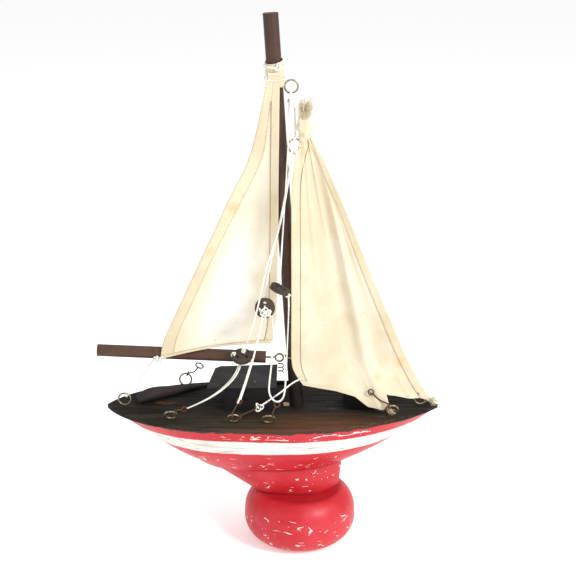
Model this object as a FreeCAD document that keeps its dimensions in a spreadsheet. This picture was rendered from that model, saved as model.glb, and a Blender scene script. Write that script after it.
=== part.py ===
"""A wooden toy pond yacht on a round foot, with cotton sails and string rigging.

Frame: millimetres, +Z up, +X towards the bow, origin at the centre of the foot's flat
underside. The starboard side, at -Y, carries the visible rigging.
"""
import FreeCAD, Part

import math
import os

import Sketcher

from FreeCAD import Placement, Rotation, Vector

DOC = FreeCAD.newDocument("toy_yacht")
SHEET = DOC.addObject("Spreadsheet::Sheet", "sizes")
NODES = []

SIZES = {
    "deck_top": 96.0,
    "deck_thick": 2.5,
    "stern_end": -129.0,
    "bow_end": 92.5,
    "half_beam": 40.6,
    "hull_bottom": 56.0,
    "fin_bottom": 36.5,
    "fin_half": 16.0,
    "foot_radius": 37.5,
    "foot_waist": 18.5,
    "foot_flat": 26.0,
    "foot_crown": 28.0,
    "dowel_radius": 4.0,
    "mast_radius": 4.8,
    "mast_length": 270.0,
    "mast_socket": 12.0,
    "mast_rake": 3.7,
    "boom_radius": 4.0,
    "boom_length": 111.5,
    "eye_radius": 4.1,
    "eye_wire": 0.55,
    "eye_core": 0.5,
    "eye_shank": 6.0,
    "hook_wire": 0.45,
    "hook_loop": 1.55,
    "disc_radius": 6.4,
    "disc_thick": 3.0,
    "disc_hole": 1.1,
    "cord_radius": 0.6,
    "cloth_thick": 1.2,
    "roof_thick": 1.5,
    "cabin_height": 17.0,
    "hatch_height": 12.0,
    "strip_height": 2.2,
    "chip_height": 1.4,
    "pin_radius": 1.2,
    "pin_length": 12.0,
    "jib_ring_radius": 4.4,
    "running_gap": 0.05,
}


def fill_sheet():
    for row, (alias, value) in enumerate(SIZES.items(), start=1):
        SHEET.set(f"A{row}", alias)
        SHEET.set(f"B{row}", str(value))
        SHEET.setAlias(f"B{row}", alias)
    DOC.recompute()


def size(alias):
    return float(getattr(SHEET, alias))


def bind(item, **expressions):
    for name, expression in expressions.items():
        item.setExpression(name, expression)


def node(item, label):
    """Name a finished sub-part and put it on the list of files to write."""
    item.Label = label
    NODES.append(item)
    return item


def shaped(label, shape, place=None):
    item = DOC.addObject("Part::Feature", label + "_shape")
    item.Shape = shape
    item.Placement = place or Placement()
    return node(item, label)


def helper_shape(name, shape):
    item = DOC.addObject("Part::Feature", name)
    item.Shape = shape
    return item


def cylinder(name, radius, height, place):
    item = DOC.addObject("Part::Cylinder", name)
    bind(item, Radius=radius, Height=height)
    item.Placement = place
    return item


def fused(name, items):
    item = DOC.addObject("Part::MultiFuse", name)
    item.Shapes = items
    return item


def cut(name, base, tool):
    item = DOC.addObject("Part::Cut", name)
    item.Base = base
    item.Tool = tool
    return item


def along(direction):
    """The rotation that turns +Z into a direction."""
    return Rotation(Vector(0, 0, 1), direction)


# ---------------------------------------------------------------- round wire and string

def corner(before, here, after):
    """The tangent arc that rounds one point of a route, as start, middle and end."""
    back = before - here
    ahead = after - here
    turn = math.pi - back.getAngle(ahead)
    setback = 0.45 * min(back.Length, ahead.Length)
    radius = setback / math.tan(turn / 2)
    back.normalize()
    ahead.normalize()
    centre_way = back + ahead
    centre_way.normalize()
    reach = radius / math.cos(turn / 2) - radius
    return here + back * setback, here + centre_way * reach, here + ahead * setback, radius


def route_wire(points):
    """Straight runs joined by tangent arcs, and the radii of the arcs."""
    edges = []
    radii = []
    start = points[0]
    for before, here, after in zip(points, points[1:], points[2:]):
        arc_start, arc_middle, arc_end, radius = corner(before, here, after)
        edges.append(Part.LineSegment(start, arc_start).toShape())
        edges.append(Part.Arc(arc_start, arc_middle, arc_end).toShape())
        radii.append(radius)
        start = arc_end
    edges.append(Part.LineSegment(start, points[-1]).toShape())
    return Part.Wire(edges), radii


def tube(label, route, radius):
    """A round tube along a route, checked against its section times its length."""
    points = [Vector(*point) for point in route]
    wire, radii = route_wire(points)
    ring = Part.Circle(points[0], points[1] - points[0], radius).toShape()
    shell = Part.BRepOffsetAPI.MakePipeShell(wire)
    shell.setFrenetMode(False)
    shell.add(Part.Wire([ring]))
    shell.build()
    shell.makeSolid()
    solid = shell.shape()
    expected = math.pi * radius ** 2 * wire.Length
    listed = " ".join(f"{value:.1f}" for value in radii)
    print(f"{label}: length {wire.Length:.1f}, volume ratio {solid.Volume / expected:.3f}, radii {listed}")
    return solid


def string(label, route):
    return shaped(label, tube(label, route, size("cord_radius")))


# ---------------------------------------------------------------- hull, fin and foot

OUTLINE = ((0.0, 0.0), (0.07, 0.47), (0.20, 0.84), (0.40, 1.0), (0.64, 0.99), (0.78, 0.80), (0.90, 0.47),
           (1.0, 0.0))


def leaf(stern, bow, half, height):
    """A pointed-oval outline: two curves that meet at the stern and at the bow."""
    sides = []
    for side in (-1, 1):
        points = [Vector(stern + (bow - stern) * along_hull, side * half * wide, height)
                  for along_hull, wide in OUTLINE]
        curve = Part.BSplineCurve()
        curve.interpolate(points)
        sides.append(curve)
    sides[1].reverse()
    return Part.Wire([side.toShape() for side in sides])


def hull_loft():
    top = size("deck_top") - size("deck_thick")
    stern = size("stern_end") + 1
    bow = size("bow_end") - 1
    half = size("half_beam") - 0.6
    bottom = size("hull_bottom")
    sections = [
        leaf(stern, bow, half, top),
        leaf(stern + 14, bow - 12, half - 1.6, 85.0),
        leaf(stern + 32, bow - 29, half - 6.0, 72.5),
        leaf(stern + 48, bow - 46, half - 13.0, 63.0),
        leaf(stern + 60, bow - 60, half - 20.0, bottom),
    ]
    return Part.makeLoft(sections, True)


def fin_loft():
    """The fin: its aft edge carries on the straight run of the hull's underside."""
    top = leaf(-63.0, 28.5, size("fin_half") + 4, size("hull_bottom"))
    bottom = leaf(-33.5, 26.5, size("fin_half"), size("fin_bottom"))
    return Part.makeLoft([top, bottom], True)


def keel_dowel():
    """The hidden dowel that holds the hull, the fin and the foot together."""
    return Part.makeCylinder(size("dowel_radius"), 56, Vector(-2, 0, 14))


def mast_place():
    rake = math.radians(size("mast_rake"))
    depth = size("mast_socket")
    foot = Vector(-2 + depth * math.tan(rake), 0, size("deck_top") - depth)
    return Placement(foot, Rotation(Vector(0, 1, 0), -size("mast_rake")))


def foot_body():
    """The bun-shaped foot, turned as one profile about its axis."""
    body = DOC.addObject("PartDesign::Body", "foot_turned")
    sketch = body.newObject("Sketcher::SketchObject", "foot_profile")
    plane = [f for f in body.Origin.OriginFeatures if f.Role == "XZ_Plane"][0]
    sketch.AttachmentSupport = [(plane, "")]
    sketch.MapMode = "FlatFace"
    flat = size("foot_flat")
    wide = size("foot_radius")
    waist = size("foot_waist")
    crown = size("foot_crown")
    top = size("fin_bottom")
    corners = [Vector(0, 0, 0), Vector(flat, 0, 0), Vector(wide, waist, 0), Vector(crown, top, 0),
               Vector(0, top, 0)]
    below = Vector(flat + 0.72 * (wide - flat), 0.30 * waist, 0)
    above = Vector(wide - 0.22 * (wide - crown), 0.42 * waist + 0.58 * top, 0)
    lower = Part.Arc(corners[1], below, corners[2])
    upper = Part.Arc(corners[2], above, corners[3])
    sketch.addGeometry(Part.LineSegment(corners[0], corners[1]))
    sketch.addGeometry(lower)
    sketch.addGeometry(upper)
    sketch.addGeometry(Part.LineSegment(corners[3], corners[4]))
    sketch.addGeometry(Part.LineSegment(corners[4], corners[0]))
    turn = body.newObject("PartDesign::Revolution", "foot_turn")
    turn.Profile = sketch
    turn.ReferenceAxis = (sketch, ["V_Axis"])
    turn.Angle = 360
    DOC.recompute()
    return body


# ---------------------------------------------------------------- screw eyes and hooks

class Eye:
    """A screw eye in the deck: where it stands, how far it leans out, and its ring."""

    def __init__(self, label, place_x, place_y, lean, base=None, upright=None, twist=0.0):
        self.label = label
        self.upright = upright or Rotation(Vector(1, 0, 0), lean).multVec(Vector(0, 0, 1))
        self.flat = Rotation(Vector(0, 0, 1), twist).multVec(Vector(1, 0, 0))
        self.base = base or Vector(place_x, place_y, size("deck_top"))
        self.centre = self.base + self.upright * (size("eye_radius") + 0.9)

    def build(self):
        """The ring and its shank, and a plain cylinder that makes the shank's hole."""
        normal = self.flat.cross(self.upright)
        ring = DOC.addObject("Part::Torus", self.label + "_ring")
        bind(ring, Radius1="sizes.eye_radius", Radius2="sizes.eye_wire")
        ring.Placement = Placement(self.centre, along(normal))
        depth = size("eye_shank")
        start = self.base - self.upright * depth
        place = Placement(start, along(self.upright))
        shank = cylinder(self.label + "_shank", "sizes.eye_core", "sizes.eye_shank + 1.0", place)
        hole = cylinder(self.label + "_hole", "sizes.eye_core", "sizes.eye_shank + 1.0", place)
        node(fused(self.label + "_eye", [ring, shank]), self.label)
        return hole

    def on_ring(self, clock):
        """A point on the ring's wire, by the angle from its top, and the wire's way there."""
        angle = math.radians(clock)
        out = self.upright * math.cos(angle) + self.flat * math.sin(angle)
        way = self.flat * math.cos(angle) - self.upright * math.sin(angle)
        return self.centre + out * size("eye_radius"), way


def wire_hook(label, eye, clock, bends, end_loop=1.7):
    """A bent wire: a loop round the eye's ring, a shank and an end loop for the string."""
    held, way = eye.on_ring(clock)
    wire = size("hook_wire")
    first = Vector(*bends[0]) - held
    across = first - way * first.dot(way)
    across.normalize()
    loop = Part.makeTorus(size("hook_loop"), wire, held, way)
    start = held + across * size("hook_loop")
    points = [start] + [Vector(*bend) for bend in bends]
    shank = tube(label + " wire", points, wire)
    last = points[-1] - points[-2]
    last.normalize()
    side = last.cross(Vector(0, 1, 0))
    side.normalize()
    end = Part.makeTorus(end_loop, wire, points[-1] + last * end_loop, side.cross(last))
    return shaped(label, loop.fuse([shank, end]).removeSplitter())


# ---------------------------------------------------------------- flat and carved pieces

def padded_body(name, corners, plane_height, thick):
    """A board: a closed polygon on a level plane, padded upwards."""
    body = DOC.addObject("PartDesign::Body", name)
    sketch = body.newObject("Sketcher::SketchObject", name + "_outline")
    plane = [f for f in body.Origin.OriginFeatures if f.Role == "XY_Plane"][0]
    sketch.AttachmentSupport = [(plane, "")]
    sketch.MapMode = "FlatFace"
    points = [Vector(x, y, 0) for x, y in corners]
    for here, after in zip(points, points[1:] + points[:1]):
        sketch.addGeometry(Part.LineSegment(here, after))
    pad = body.newObject("PartDesign::Pad", name + "_pad")
    pad.Profile = sketch
    bind(pad, Length=thick)
    body.setExpression("Placement.Base.z", plane_height)
    DOC.recompute()
    return body


def tiller_loft():
    """A carved, tapering arm: fat at its pivot end, thin and low at its tip."""
    stations = ((-1.5, 2.6, 4.5), (4.0, 4.6, 7.6), (20.0, 4.6, 7.4), (38.0, 2.7, 4.2), (53.0, 0.9, 1.5))
    upright = along(Vector(1, 0, 0)).multiply(Rotation(Vector(0, 0, 1), 90))
    sections = []
    for reach, half, tall in stations:
        ring = Part.Ellipse(Vector(), half, tall / 2).toShape()
        ring.Placement = Placement(Vector(reach, 0, tall / 2), upright)
        sections.append(Part.Wire([ring]))
    return Part.makeLoft(sections, True)


def rigging_disc(label, place):
    """A thick wooden button with three holes for the strings."""
    body = DOC.addObject("PartDesign::Body", label + "_body")
    sketch = body.newObject("Sketcher::SketchObject", label + "_face")
    plane = [f for f in body.Origin.OriginFeatures if f.Role == "XY_Plane"][0]
    sketch.AttachmentSupport = [(plane, "")]
    sketch.MapMode = "FlatFace"
    rim = sketch.addGeometry(Part.Circle(Vector(), Vector(0, 0, 1), size("disc_radius")))
    sketch.setExpression(f"Constraints[{add_radius(sketch, rim, 'disc_radius')}]", "sizes.disc_radius")
    for turn in (90, 210, 330):
        at = Rotation(Vector(0, 0, 1), turn).multVec(Vector(3.4, 0, 0))
        hole = sketch.addGeometry(Part.Circle(at, Vector(0, 0, 1), size("disc_hole")))
        sketch.setExpression(f"Constraints[{add_radius(sketch, hole, 'disc_hole')}]", "sizes.disc_hole")
    pad = body.newObject("PartDesign::Pad", label + "_pad")
    pad.Profile = sketch
    pad.Midplane = True
    bind(pad, Length="sizes.disc_thick")
    body.Placement = place
    return node(body, label)


def add_radius(sketch, circle, alias):
    return sketch.addConstraint(Sketcher.Constraint("Radius", circle, size(alias)))


# ---------------------------------------------------------------- the fixed boat

fill_sheet()

DECK = size("deck_top")
MAST_WAY = Rotation(Vector(0, 1, 0), -size("mast_rake")).multVec(Vector(0, 0, 1))


def mast_point(height):
    """The point of the mast's axis at a height above the ground."""
    return Vector(-2, 0, DECK) + MAST_WAY * ((height - DECK) / MAST_WAY.z)


MAST_EYE_BASE = mast_point(308.5) + Vector(size("mast_radius"), 0, 0)
EYES = {
    "stern": Eye("stern_eye", -117.0, -3.0, 0),
    "aft": Eye("aft_eye", -84.0, -24.5, 35),
    "mid": Eye("mid_eye", -43.0, -29.5, 35),
    "front": Eye("front_eye", -20.5, -31.0, 35),
    "fore": Eye("fore_eye", 60.0, -16.5, 30),
    "bow": Eye("bow_eye", 80.5, -1.5, 0),
    "far": Eye("far_eye", -79.0, 31.0, -10),
    "mast": Eye("mast_eye", 0, 0, 0, MAST_EYE_BASE, Vector(1, 0, 0.05).normalize(), 0.0),
}
EYES["mast"].flat = Vector(-0.05, 0, 1).normalize()
EYE_HOLES = [eye.build() for eye in EYES.values()]

MAST_ROOM = cylinder("mast_room", "sizes.mast_radius", "sizes.mast_length", mast_place())
MAST_SOLID = cylinder("mast_dowel", "sizes.mast_radius", "sizes.mast_length", mast_place())
PIN_PLACE = Placement(Vector(-108, 1, DECK - 7), Rotation())
PIN_ROOM = cylinder("pin_room", "sizes.pin_radius", "sizes.pin_length", PIN_PLACE)
PIN_ROD = cylinder("tiller_pin_rod", "sizes.pin_radius", "sizes.pin_length", PIN_PLACE)
node(PIN_ROD, "tiller_pin")
DOWEL_ROOM = helper_shape("dowel_room", keel_dowel())

HULL_ROOM = fused("hull_rooms", [MAST_ROOM, PIN_ROOM, DOWEL_ROOM] + EYE_HOLES)
DECK_ROOM = fused("deck_rooms", [MAST_ROOM, PIN_ROOM] + EYE_HOLES)

node(cut("hull_cut", helper_shape("hull_block", hull_loft()), HULL_ROOM), "hull")
DECK_LINE = leaf(size("stern_end"), size("bow_end"), size("half_beam"), DECK - size("deck_thick"))
DECK_FACE = helper_shape("deck_outline", DECK_LINE)
DECK_BOARD = DOC.addObject("Part::Extrusion", "deck_board")
DECK_BOARD.Base = DECK_FACE
DECK_BOARD.Dir = Vector(0, 0, 1)
DECK_BOARD.DirMode = "Custom"
DECK_BOARD.Solid = True
bind(DECK_BOARD, LengthFwd="sizes.deck_thick")
node(cut("deck_cut", DECK_BOARD, DECK_ROOM), "deck")
node(cut("fin_cut", helper_shape("fin_block", fin_loft()), DOWEL_ROOM), "fin")
node(cut("foot_cut", foot_body(), DOWEL_ROOM), "foot")
shaped("keel_dowel", keel_dowel())
node(cut("mast_cut", MAST_SOLID, EYE_HOLES[-1]), "mast")

node(padded_body("cabin_block", ((-49.5, -12.6), (-16.0, -12.6), (-16.0, 20.0), (-49.5, 20.0)),
                 "sizes.deck_top", "sizes.cabin_height"), "cabin")
ROOF = ((-61.0, -13.4), (-15.6, -13.4), (-15.2, 25.5), (-54.0, 22.4), (-57.5, 18.5))
node(padded_body("roof_board", ROOF, "sizes.deck_top + sizes.cabin_height", "sizes.roof_thick"),
     "cabin_roof")
node(padded_body("hatch_block", ((29.0, -6.7), (52.0, -6.7), (52.0, 10.0), (29.0, 10.0)),
                 "sizes.deck_top", "sizes.hatch_height"), "fore_hatch")
node(padded_body("rail_strip", ((-17.0, 33.4), (5.2, 33.4), (5.2, 36.0), (-17.0, 36.0)),
                 "sizes.deck_top", "sizes.strip_height"), "deck_strip")
node(padded_body("wedge_chip", ((-11.0, -3.2), (-7.2, -3.2), (-7.2, -0.4), (-11.0, -0.4)),
                 "sizes.deck_top", "sizes.chip_height"), "mast_chip")
ROOF_PIN = cylinder("roof_pin_rod", "0.7", "1.0", Placement(Vector(-30, -7.5, DECK + 18.5), Rotation()))
node(ROOF_PIN, "roof_pin")

# ---------------------------------------------------------------- wire hooks and the jib's ring

wire_hook("mid_hook", EYES["mid"], -8, ((-40.3, -30.6, 109.6),))
wire_hook("sheet_hook", EYES["mid"], 62, ((-29.0, -32.6, 106.6),))
wire_hook("front_hook", EYES["front"], 30, ((-15.9, -31.2, 107.6),), 1.9)
wire_hook("fore_hook", EYES["fore"], -30, ((52.5, -15.5, 105.0), (47.6, -14.6, 109.6)))
wire_hook("bow_hook", EYES["bow"], -25, ((77.0, -0.6, 107.4), (72.6, -0.2, 110.6)))
wire_hook("aft_hook", EYES["aft"], 40, ((-76.8, -26.6, 103.6),), 1.6)
wire_hook("far_hook", EYES["far"], 20, ((-72.6, 25.6, 108.6), (-69.5, 22.0, 113.6)), 2.6)

JIB_RING_CENTRE = Vector(-3.6, -7.6, 273.0)
JIB_RING = DOC.addObject("Part::Torus", "jib_ring_wire")
bind(JIB_RING, Radius1="sizes.jib_ring_radius", Radius2="sizes.eye_wire")
JIB_RING.Placement = Placement(JIB_RING_CENTRE, along(Vector(0, 1, 0.1)))
node(JIB_RING, "jib_ring")

# ---------------------------------------------------------------- jib and standing strings

JIB_EDGE = ((3.5, 279.0), (15.5, 261.5), (24.5, 236.0), (34.0, 208.5), (46.0, 184.5), (57.0, 158.0),
            (68.0, 133.0), (77.5, 117.5), (69.0, 115.5), (56.0, 112.5), (40.0, 113.5), (23.0, 113.0),
            (5.0, 116.0), (-4.6, 131.0), (-4.6, 250.0), (2.6, 264.0))


def flat_cloth(corners, nearest):
    """A cloth panel as a slab: its corners in X and Z, and the Y of its near face."""
    points = [Vector(x, nearest, z) for x, z in corners]
    face = Part.Face(Part.makePolygon(points + points[:1]))
    return face.extrude(Vector(0, size("cloth_thick"), 0))


shaped("jib", flat_cloth(JIB_EDGE, -9.0))

string("jib_halyard", ((-3.7, -3.0, 303.0), (-3.5, -5.6, 278.6)))
string("front_shroud_upper",
       ((-6.3, -3.4, 303.6), (-9.6, -15.8, 245.0), (-12.4, -20.6, 203.0), (-13.0, -21.4, 189.0)))
string("front_shroud_lower",
       ((-7.4, -22.6, 177.6), (-8.3, -25.2, 152.0), (-9.5, -28.0, 128.0), (-10.6, -30.6, 115.0),
        (-15.6, -32.2, 111.9), (-20.4, -30.6, 116.0), (-19.6, -28.6, 125.0), (-17.6, -26.6, 143.0),
        (-17.4, -24.3, 164.0)))
string("mid_shroud_upper",
       ((-6.0, -8.8, 267.6), (-12.9, -12.2, 225.0), (-21.4, -13.4, 193.0), (-22.2, -18.4, 179.6)))
string("mid_shroud_lower", ((-26.0, -24.2, 163.0), (-30.6, -26.9, 138.0), (-37.9, -30.2, 114.6)))
string("jib_sheet", ((-4.6, -11.6, 117.8), (-12.0, -19.5, 113.6), (-24.6, -30.4, 109.2)))

# ---------------------------------------------------------------- boom and mainsail

BOOM_WAY = Vector(-1, 0, 0.044).normalize()
BOOM_INNER = Vector(-22.6, 0, 129.8)
BOOM_PLACE = Placement(BOOM_INNER, along(BOOM_WAY))
node(cylinder("boom_dowel", "sizes.boom_radius", "sizes.boom_length", BOOM_PLACE), "boom")


def boom_eye():
    """A screw eye in the boom's inner end, standing upright."""
    out = BOOM_WAY * -1
    shank = Part.makeCylinder(0.7, 6.3, BOOM_INNER, out)
    ring = Part.makeTorus(2.6, 0.65, BOOM_INNER + out * 8.9, Vector(0, 1, 0))
    return shank.fuse(ring).removeSplitter()


shaped("boom_eye", boom_eye())
GOOSE_AXIS = mast_point(131.0)
LOOP_RADIUS = size("mast_radius") + size("eye_wire") + size("running_gap")
shaped("mast_loop", Part.makeTorus(LOOP_RADIUS, size("eye_wire"), GOOSE_AXIS, MAST_WAY))


def hanging_coil():
    """A short spring of thin wire that hangs under the gooseneck."""
    helix = Part.makeHelix(2.6, 7.4, 1.7)
    wire = Part.Wire(helix.Edges)
    ring = Part.Wire([Part.Circle(Vector(1.7, 0, 0), Vector(0, 1, 0), 0.35).toShape()])
    return wire.makePipeShell([ring], True, True)


shaped("boom_coil", hanging_coil(), Placement(Vector(-12.7, -0.9, 118.9), Rotation()))

MAIN_EDGE = ((-13.0, 309.0), (-13.6, 262.0), (-14.0, 222.0), (-14.6, 186.0), (-15.4, 160.0),
             (-18.4, 143.5), (-23.0, 141.0), (-36.0, 138.6), (-60.0, 134.5), (-88.0, 131.0),
             (-91.5, 133.0), (-90.5, 141.0), (-78.0, 163.0), (-64.8, 192.0), (-47.8, 235.5),
             (-33.6, 268.0), (-20.9, 309.0))
shaped("mainsail", flat_cloth(MAIN_EDGE, -6.6))


def sail_collar():
    """The head of the sail, wrapped round the mast as a sleeve."""
    low = mast_point(311.0)
    outer = Part.makeCylinder(size("mast_radius") + 1.5, 13.0, low, MAST_WAY)
    inner = Part.makeCylinder(size("mast_radius") + 0.3, 13.0, low, MAST_WAY)
    return outer.cut(inner)


shaped("sail_collar", sail_collar())
rigging_disc("boom_disc", Placement(Vector(-37.9, -12.8, 135.1), Rotation(Vector(1, 0, 0), 22)))
string("boom_lift",
       ((-5.9, -11.0, 263.0), (-11.8, -14.4, 226.0), (-21.8, -21.2, 198.0), (-27.2, -27.0, 172.5),
        (-32.0, -21.6, 154.3), (-36.2, -13.8, 140.6)))
string("main_sheet",
       ((-39.8, -12.4, 128.6), (-44.6, -14.2, 119.4), (-55.0, -17.6, 110.4), (-64.6, -21.6, 106.6),
        (-72.6, -25.4, 105.4)))
string("clew_line", ((-98.0, -0.4, 127.2), (-107.0, -1.4, 113.4), (-114.4, -2.4, 106.4)))

# ---------------------------------------------------------------- sliding button and tiller

rigging_disc("slide_disc", Placement(Vector(-13.2, -21.4, 184.0), Rotation(Vector(0, 1, 0), 24)))
rigging_disc("tied_disc", Placement(Vector(-22.6, -23.0, 172.0), Rotation(Vector(1, 0, 0), 82)))

TILLER_TURN = Placement(Vector(-108, 1, DECK + 0.3), Rotation(Vector(0, 0, 1), 34))
TILLER_BLOCK = helper_shape("tiller_block", tiller_loft())
TILLER_BLOCK.Placement = TILLER_TURN
TILLER_BORE = cylinder("tiller_bore", "sizes.pin_radius + sizes.running_gap", "sizes.pin_length", PIN_PLACE)
node(cut("tiller_cut", TILLER_BLOCK, TILLER_BORE), "tiller")


# ---------------------------------------------------------------- check and write

def failed(item):
    return any(word in state for state in item.State for word in ("Invalid", "Error"))


DOC.recompute()
for item in DOC.Objects:
    if failed(item):
        raise SystemExit(f"{item.Label} did not build: {item.State}")
os.makedirs("parts", exist_ok=True)
for item in NODES:
    shape = item.Shape
    if shape.isNull() or not shape.isValid() or not shape.Solids:
        raise SystemExit(f"{item.Label} has no valid solid")
    shape.exportStep(f"parts/{item.Label}.step")
    box = shape.optimalBoundingBox()
    print(f"{item.Label}: {len(shape.Solids)} solid, {shape.Volume:.1f} mm3, "
          f"low {box.XMin:.1f} {box.YMin:.1f} {box.ZMin:.1f}, "
          f"high {box.XMax:.1f} {box.YMax:.1f} {box.ZMax:.1f}")
print(f"{len(NODES)} sub-parts")
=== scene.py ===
"""A wooden toy pond yacht: painted hull on a round foot, cotton sails and string rigging."""
import math
import random

import bmesh
import bpy
from mathutils import Matrix, Vector, noise


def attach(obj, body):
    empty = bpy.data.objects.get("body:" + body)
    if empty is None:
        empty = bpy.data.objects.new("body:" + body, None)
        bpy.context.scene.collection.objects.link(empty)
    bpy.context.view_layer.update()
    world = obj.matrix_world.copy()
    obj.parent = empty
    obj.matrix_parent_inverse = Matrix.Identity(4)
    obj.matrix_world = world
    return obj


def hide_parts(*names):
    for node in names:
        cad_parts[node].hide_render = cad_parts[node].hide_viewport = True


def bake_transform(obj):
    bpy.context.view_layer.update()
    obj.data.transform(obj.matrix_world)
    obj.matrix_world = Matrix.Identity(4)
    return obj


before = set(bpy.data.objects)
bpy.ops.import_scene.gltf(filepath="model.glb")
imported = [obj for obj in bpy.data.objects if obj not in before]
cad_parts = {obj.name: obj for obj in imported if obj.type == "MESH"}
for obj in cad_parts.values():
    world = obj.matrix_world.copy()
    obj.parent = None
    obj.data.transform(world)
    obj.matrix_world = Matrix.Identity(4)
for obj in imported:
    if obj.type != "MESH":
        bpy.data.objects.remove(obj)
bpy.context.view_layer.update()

MM = 0.001
SCENE = bpy.context.scene

# ---------------------------------------------------------------- studio
# A pale floor that runs to the horizon, a white sky, and soft window-like lamps. The camera
# stands off the starboard side, a little above the deck.

CAMERA_PLACE = (-0.008, -0.770, 0.428)
LOOK_DOWN = 18
SENSOR_WIDTH = 36
LENS = 77.8
SKY_STRENGTH = 0.64
FLOOR_REACH = 12
FLOOR_GLOW = 0.34
PAPER_GREY = (0.93, 0.93, 0.93)
PAPER_WHITE = (0.96, 0.96, 0.96)

camera = bpy.data.objects.new("camera", bpy.data.cameras.new("camera"))
camera.location = CAMERA_PLACE
camera.rotation_euler = (math.radians(90 - LOOK_DOWN), 0, 0)
camera.data.sensor_width = SENSOR_WIDTH
camera.data.lens = LENS
SCENE.collection.objects.link(camera)
SCENE.camera = camera


def lamp(name, place, aim, width, power):
    """A square lamp at a place, turned to its aim; metres and watts."""
    light = bpy.data.lights.new(name, "AREA")
    light.size = width
    light.energy = power
    holder = bpy.data.objects.new(name, light)
    holder.location = place
    holder.rotation_euler = (Vector(aim) - Vector(place)).to_track_quat("-Z", "Y").to_euler()
    SCENE.collection.objects.link(holder)


lamp("window_left", (-1.0, -1.0, 0.9), (0, 0, 0.15), 0.9, 3)
lamp("window_right", (0.9, -0.8, 1.0), (0, 0, 0.12), 0.35, 16)
lamp("ceiling", (0.2, 0.4, 1.5), (0, 0, 0.1), 1.2, 5)

sky = bpy.data.worlds.new("white_room")
sky.use_nodes = True
backdrop = sky.node_tree.nodes["Background"]
backdrop.inputs["Color"].default_value = (1, 1, 1, 1)
backdrop.inputs["Strength"].default_value = SKY_STRENGTH
SCENE.world = sky
SCENE.view_settings.view_transform = "Standard"


def build(name, bm):
    """Turn a bmesh into a smooth piece that is linked to the scene."""
    for face in bm.faces:
        face.smooth = True
    mesh = bpy.data.meshes.new(name)
    bm.to_mesh(mesh)
    bm.free()
    piece = bpy.data.objects.new(name, mesh)
    SCENE.collection.objects.link(piece)
    return piece


NOISE_ROUGHNESS = 0.55


class Wire:
    """A value or colour on its way through a finish's nodes."""

    def __init__(self, finish, socket):
        self.finish = finish
        self.socket = socket

    def maths(self, operation, first, second=0.0):
        return self.finish.node("Math", {"operation": operation}, {0: first, 1: second})

    def __add__(self, other):
        return self.maths("ADD", self, other)

    def __sub__(self, other):
        return self.maths("SUBTRACT", self, other)

    def __rsub__(self, other):
        return self.maths("SUBTRACT", other, self)

    def __mul__(self, other):
        return self.maths("MULTIPLY", self, other)

    def __abs__(self):
        return self.maths("ABSOLUTE", self)


class Finish:
    """A procedural material: a Principled shader and the nodes that feed it."""

    def __init__(self, name, roughness=0.6, shine=0.5):
        self.material = bpy.data.materials.new(name)
        self.material.use_nodes = True
        self.tree = self.material.node_tree
        self.shader = self.tree.nodes["Principled BSDF"]
        self.shader.inputs["Roughness"].default_value = roughness
        self.shader.inputs["Specular IOR Level"].default_value = shine

    def node(self, kind, settings, sockets, output=0):
        """One node: its type, its settings, then the values or links of its sockets."""
        made = self.tree.nodes.new("ShaderNode" + kind)
        for key, value in settings.items():
            setattr(made, key, value)
        for key, value in sockets.items():
            self.feed(made.inputs[key], value)
        return Wire(self, made.outputs[output])

    def feed(self, socket, value):
        """Link a wire to a socket, or set the socket to a number or colour."""
        if isinstance(value, Wire):
            self.tree.links.new(value.socket, socket)
        elif isinstance(value, tuple) and socket.type == "RGBA":
            socket.default_value = (*value, 1)
        else:
            socket.default_value = value

    def place(self, scale=(1, 1, 1), source="Object"):
        """The piece's own coordinates: millimetres times scale, or its UV map as it is."""
        raw = self.node("TexCoord", {}, {}, source)
        factor = 1000 if source == "Object" else 1
        size = tuple(factor * share for share in scale)
        return self.node("Mapping", {}, {"Vector": raw, "Scale": size})

    def axis(self, letter):
        return self.node("SeparateXYZ", {}, {"Vector": self.place()}, letter)

    def speckle(self, scale, detail=4.0, stretch=(1, 1, 1)):
        """Noise whose grains are about 1 / scale millimetres across."""
        return self.node("TexNoise", {}, {"Vector": self.place(stretch), "Scale": scale,
                                          "Detail": detail, "Roughness": NOISE_ROUGHNESS})

    def step(self, value, low, high):
        """0 below low and 1 above high, with a soft change between them."""
        return self.node("MapRange", {"interpolation_type": "SMOOTHSTEP"},
                         {"Value": value, "From Min": low, "From Max": high})

    def slot(self, value, low, high, soft):
        """1 between low and high and 0 outside, with a soft change at each end."""
        above = self.step(value, low - soft, low + soft)
        past = self.step(value, high - soft, high + soft)
        return above * (1 - past)

    def mix(self, factor, first, second):
        """The first colour where the factor is 0 and the second where it is 1."""
        return self.node("Mix", {"data_type": "RGBA"}, {0: factor, 6: first, 7: second}, 2)

    def bump(self, height, depth, strength):
        """Relief of up to depth, in millimetres."""
        made = self.node("Bump", {}, {"Height": height, "Distance": depth * MM,
                                      "Strength": strength})
        self.feed(self.shader.inputs["Normal"], made)

    def colour(self, value):
        self.feed(self.shader.inputs["Base Color"], value)

    def rough(self, value):
        self.feed(self.shader.inputs["Roughness"], value)


def dress(finish, *names):
    """Give CAD nodes a finish in all their slots."""
    for name in names:
        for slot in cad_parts[name].material_slots:
            slot.material = finish.material


floor_bm = bmesh.new()
bmesh.ops.create_grid(floor_bm, x_segments=2, y_segments=2, size=FLOOR_REACH)
floor = build("floor", floor_bm)
paper = Finish("white_paper", 0.9)
paper.colour(paper.mix(paper.speckle(0.02), PAPER_GREY, PAPER_WHITE))
paper.feed(paper.shader.inputs["Emission Color"], (1.0, 1.0, 1.0))
paper.shader.inputs["Emission Strength"].default_value = FLOOR_GLOW
floor.data.materials.append(paper.material)

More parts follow.
